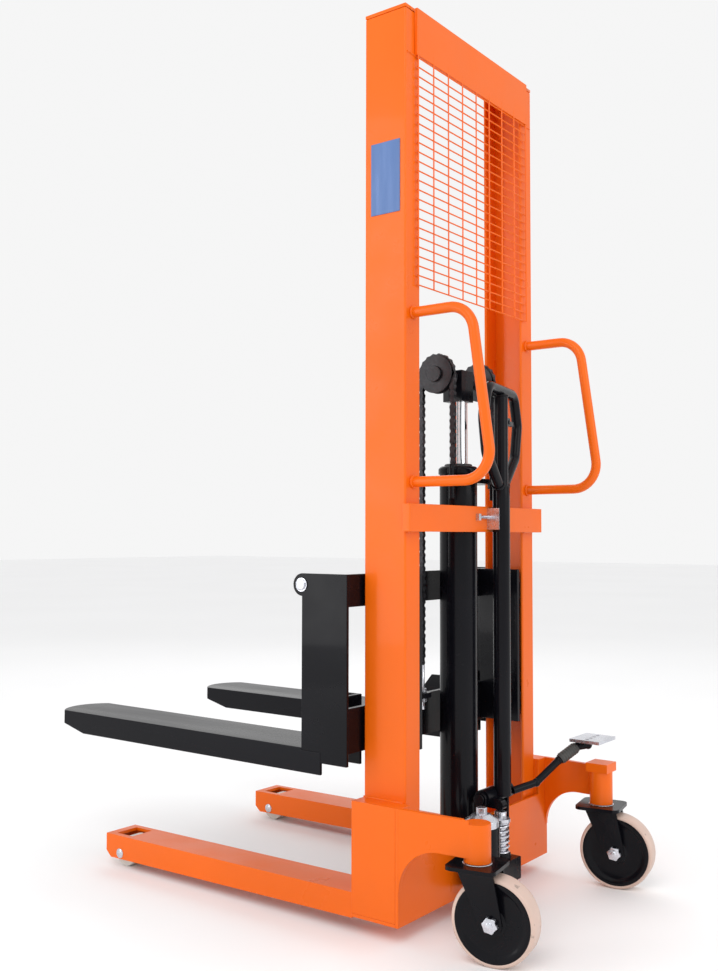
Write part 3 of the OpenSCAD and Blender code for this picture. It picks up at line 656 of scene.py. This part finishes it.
class STACKER_OT_casters(bpy.types.Operator):
    """Cast the treads on the caster wheels, dish their rims and fit the axle nuts"""
    bl_idname = "stacker.casters"
    bl_label = "Make the casters"

    def execute(self, context):
        radius, half = 0.0899, 0.0249
        tyre = ((0.0755, -0.022), (0.0835, -half), (0.0868, -0.0242), (0.0889, -0.0222), (radius, -0.019),
                (radius, 0.019), (0.0889, 0.0222), (0.0868, 0.0242), (0.0835, half), (0.0755, 0.022))
        rim = [(0.0102, 0.0249), (0.021, 0.0249), (0.023, 0.0240), (0.028, 0.0198), (0.060, 0.0190),
               (0.068, 0.0215), (0.073, 0.0243), (0.079, 0.0251), (0.0815, 0.0247), (0.0825, 0.0235)]
        rim = [(out, -up) for out, up in rim] + rim[::-1]
        axle_end = ((0, 0), (0.0072, 0), (0.0072, 0.0022), (0.0060, 0.0030), (0, 0.0030))
        seat = ((0.014, 0), (0.030, 0), (0.031, 0.001), (0.030, 0.0019), (0.014, 0.0019))
        for side, _ in SIDES:
            middle, axis = joint("wheel_{}_spin".format(side))
            piece("caster_tyre_" + side, turned(tyre, middle, axis, 96, True), "wheel_" + side, "tread",
                  replaces=["caster_wheel_" + side])
            piece("caster_rim_" + side, turned(rim, middle, axis, 96, True), "wheel_" + side, "black_paint",
                  replaces=["caster_wheel_" + side], smooth=30)
            parts = []
            for way in (-1, 1):
                parts.append(hexagon(middle + axis * way * 0.0338, axis * way, 0.0302, 0.0086))
                parts.append(turned(axle_end, middle + axis * way * 0.0424, axis * way, 24))
            stem = joint("caster_{}_swivel".format(side))[0]
            parts.append(turned(seat, Vector((stem.x, stem.y, STEM_SEAT)), Z_AXIS, 48, True))
            piece("caster_nuts_" + side, parts, "caster_" + side, "zinc_plate")
        return {"FINISHED"}


class STACKER_OT_spring(bpy.types.Operator):
    """Wind the pump's return spring"""
    bl_idname = "stacker.spring"
    bl_label = "Make the pump spring"

    def execute(self, context):
        sizes = context.scene.stacker_sizes
        low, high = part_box("pump_spring")
        wire = sizes.spring_wire
        middle = (low + high) / 2
        radius = (high.x - low.x) / 2 - wire
        steps = 36
        rise = high.z - low.z - 2 * wire
        points = []
        for step in range(sizes.spring_turns * steps + 1):
            share = step / (sizes.spring_turns * steps)
            flat = min(max((share * sizes.spring_turns - 0.8) / (sizes.spring_turns - 1.6), 0), 1)
            turn = 2 * math.pi * step / steps
            points.append((middle.x + radius * math.cos(turn), middle.y + radius * math.sin(turn),
                           low.z + wire + rise * flat))
        spring = piece("wound_spring", swept(points, wire, sides=12), None, "zinc_plate",
                       replaces=["pump_spring"])
        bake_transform(spring)
        return {"FINISHED"}


class STACKER_OT_pedal(bpy.types.Operator):
    """Fit the rubber sleeve on the pedal's arm"""
    bl_idname = "stacker.pedal"
    bl_label = "Make the pedal's sleeve"

    def execute(self, context):
        start, end = (at(*place) for place in SLEEVE_MM)
        along = (end - start).normalized()
        long = (end - start).length
        bore, groove, rib, ribs = 0.0095, 0.0125, 0.0142, 7
        profile = [(bore, 0.0), (groove, 0.0)]
        for number in range(ribs):
            foot = 0.003 + (long - 0.006) * number / ribs
            step = (long - 0.006) / ribs
            profile += [(groove, foot), (rib, foot + step * 0.25), (rib, foot + step * 0.7),
                        (groove, foot + step * 0.95)]
        profile += [(groove, long), (bore, long)]
        piece("pedal_sleeve", turned(profile, start, along, 40, True), "pedal", "sleeve_rubber", smooth=50)
        return {"FINISHED"}


class STACKER_OT_welds(bpy.types.Operator):
    """Lay the weld beads along the plates' joints"""
    bl_idname = "stacker.welds"
    bl_label = "Lay the welds"

    def execute(self, context):
        weld = context.scene.stacker_sizes.weld
        seed = random.Random(7)
        on_frame, on_carriage = [], []
        for side, sign in SIDES:
            post_low, post_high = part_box("mast_post_" + side)
            plate_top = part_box("base_side_" + side)[1].z
            out = post_high.x if sign > 0 else post_low.x
            on_frame.append(weld_line((out, post_low.y + 0.006, plate_top), (out, post_high.y, plate_top),
                                      weld, seed))
            tie_low, tie_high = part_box("tie_plate")
            beam_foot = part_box("mast_top_beam")[0].z
            inner = sign * (abs(out) - POST_WIDTH)
            for z, share in ((tie_low.z, 0.9), (tie_high.z, 0.9), (beam_foot, 0.8)):
                on_frame.append(weld_line((inner + sign * 0.006, post_low.y, z),
                                          (out - sign * 0.006, post_low.y, z), weld * share, seed))
            leg_low, leg_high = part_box("leg_" + side)
            leg_in = leg_low.x if sign > 0 else leg_high.x
            on_frame.append(weld_line(*((leg_in, leg_low.y, z) for z in LEG_WELD), weld, seed))
            face = sign * CARRIAGE_HALF
            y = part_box("carriage_top_plate")[0].y + 0.012
            for heights in CARRIAGE_WELDS:
                on_carriage.append(weld_line(*((face, y, z) for z in heights), weld, seed))
            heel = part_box("fork_" + side)[0].y + 0.012
            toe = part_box("carriage_side_" + side)[1].y - 0.026
            on_carriage.append(weld_line((face, heel, FORK_TOP), (face, toe, FORK_TOP), weld, seed))
        piece("frame_welds", on_frame, "frame", "orange_paint", smooth=60)
        piece("carriage_welds", on_carriage, "carriage", "black_paint", smooth=60)
        return {"FINISHED"}


class STACKER_OT_fasteners(bpy.types.Operator):
    """Fit the heads of the axles, the lugs' bolts and the cylinder's gland"""
    bl_idname = "stacker.fasteners"
    bl_label = "Fit the fasteners"

    def execute(self, context):
        heads, lugs = [], []
        axle_head = ((0, 0), (0.0125, 0), (0.0125, 0.0012), (0.0105, 0.0026), (0, 0.0030))
        lug_bolt = ((0, 0), (0.016, 0), (0.016, 0.0016), (0.0125, 0.0016), (0.0125, 0.0045),
                    (0.0105, 0.0062), (0, 0.0068))
        gland = ((0.0227, 0), (0.034, 0), (0.034, 0.004), (0.031, 0.006), (0.025, 0.006), (0.0227, 0.004))
        for side, sign in SIDES:
            axle = joint("load_roller_{}_spin".format(side))[0]
            leg_low, leg_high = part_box("leg_" + side)
            outside = leg_high.x if sign > 0 else leg_low.x
            inside = leg_low.x if sign > 0 else leg_high.x
            for x, way in ((outside, sign), (inside, -sign)):
                heads.append(turned(axle_head, (x, axle.y, axle.z), X_AXIS * way, 40))
            across, ahead, up = LUG_MM
            lugs.append(turned(lug_bolt, at(sign * across, ahead, up), X_AXIS * sign, 40))
        piece("axle_heads", heads, "frame", "zinc_plate")
        piece("lug_bolts", lugs, "carriage", "zinc_plate")
        top = at(*CYLINDER_MM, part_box("cylinder_head")[1].z * 1000)
        piece("rod_gland", turned(gland, top, Z_AXIS, 64, True), "frame", "grip_plastic")
        return {"FINISHED"}


class STACKER_OT_stage(bpy.types.Operator):
    """Set the floor, the lights and the camera"""
    bl_idname = "stacker.stage"
    bl_label = "Set the stage"

    def execute(self, context):
        colours, _, studio = settings(context)
        bm = bmesh.new()
        bmesh.ops.create_grid(bm, x_segments=1, y_segments=1, size=30)
        mesh = bpy.data.meshes.new("studio_floor")
        bm.to_mesh(mesh)
        bm.free()
        floor = bpy.data.objects.new("studio_floor", mesh)
        context.scene.collection.objects.link(floor)
        mesh.materials.append(finish("studio_floor", tuple(colours.floor), 0.75, cloud=(0.6, 0.01),
                                     grain=(80, 0.02, 0.0005)))
        for name, place, size, power in (
                ("key_light", (-3.6, -1.6, 4.0), (2.8, 2.8), studio.key),
                ("fill_light", (0.6, -4.6, 2.4), (2.6, 2.6), studio.fill),
                ("strip_light", (-3.2, 1.9, 1.7), (0.8, 3.0), studio.fill * 0.6),
                ("far_light", (3.4, 2.6, 3.6), (3.0, 3.0), studio.fill * 0.6)):
            light = bpy.data.lights.new(name, "AREA")
            light.shape = "RECTANGLE"
            light.size, light.size_y = size
            light.energy = power
            lamp = bpy.data.objects.new(name, light)
            lamp.location = place
            lamp.rotation_euler = (Vector((0, 0, 0.95)) - Vector(place)).to_track_quat("-Z", "Y").to_euler()
            context.scene.collection.objects.link(lamp)
        world = bpy.data.worlds.new("studio")
        world.use_nodes = True
        back = world.node_tree.nodes["Background"]
        back.inputs["Color"].default_value = (1, 1, 1, 1)
        back.inputs["Strength"].default_value = studio.sky
        context.scene.world = world
        context.scene.view_settings.view_transform = "Standard"
        lens = bpy.data.cameras.new("photo_camera")
        lens.sensor_fit = "VERTICAL"
        lens.sensor_height = 36
        lens.sensor_width = 36
        lens.lens = studio.lens
        camera = bpy.data.objects.new("photo_camera", lens)
        camera.location = studio.camera
        ahead = Vector((math.cos(studio.heading) * math.cos(studio.rise),
                        math.sin(studio.heading) * math.cos(studio.rise), math.sin(studio.rise)))
        turn = ahead.to_track_quat("-Z", "Y").to_matrix() @ Matrix.Rotation(-studio.roll, 3, "Z")
        camera.rotation_euler = turn.to_euler()
        context.scene.collection.objects.link(camera)
        context.scene.camera = camera
        return {"FINISHED"}


OPERATORS = (
    STACKER_OT_finishes, STACKER_OT_plates, STACKER_OT_guard, STACKER_OT_handles, STACKER_OT_tiller,
    STACKER_OT_chains, STACKER_OT_casters, STACKER_OT_spring, STACKER_OT_pedal, STACKER_OT_welds,
    STACKER_OT_fasteners, STACKER_OT_stage,
)


class STACKER_PT_panel(bpy.types.Panel):
    """The stacker's settings and the steps that make it"""
    bl_idname = "STACKER_PT_panel"
    bl_label = "Walkie stacker"
    bl_space_type = "VIEW_3D"
    bl_region_type = "UI"
    bl_category = "Stacker"

    def draw(self, context):
        for title, group in zip(("Colours", "Sizes", "Studio"), settings(context)):
            box = self.layout.box()
            box.label(text=title)
            for name in group.__annotations__:
                box.prop(group, name)
        for operator in OPERATORS:
            self.layout.operator(operator.bl_idname)


CLASSES = (StackerColours, StackerSizes, StackerStudio, *OPERATORS, STACKER_PT_panel)


def register():
    for item in CLASSES:
        bpy.utils.register_class(item)
    bpy.types.Scene.stacker_colours = bpy.props.PointerProperty(type=StackerColours)
    bpy.types.Scene.stacker_sizes = bpy.props.PointerProperty(type=StackerSizes)
    bpy.types.Scene.stacker_studio = bpy.props.PointerProperty(type=StackerStudio)


def unregister():
    del bpy.types.Scene.stacker_colours, bpy.types.Scene.stacker_sizes, bpy.types.Scene.stacker_studio
    for item in reversed(CLASSES):
        bpy.utils.unregister_class(item)


def main():
    register()
    for operator in OPERATORS:
        step = operator.bl_idname.split(".")[1]
        if getattr(bpy.ops.stacker, step)() != {"FINISHED"}:
            raise RuntimeError("the step {} didn't finish".format(step))


if __name__ == "__main__":
    main()
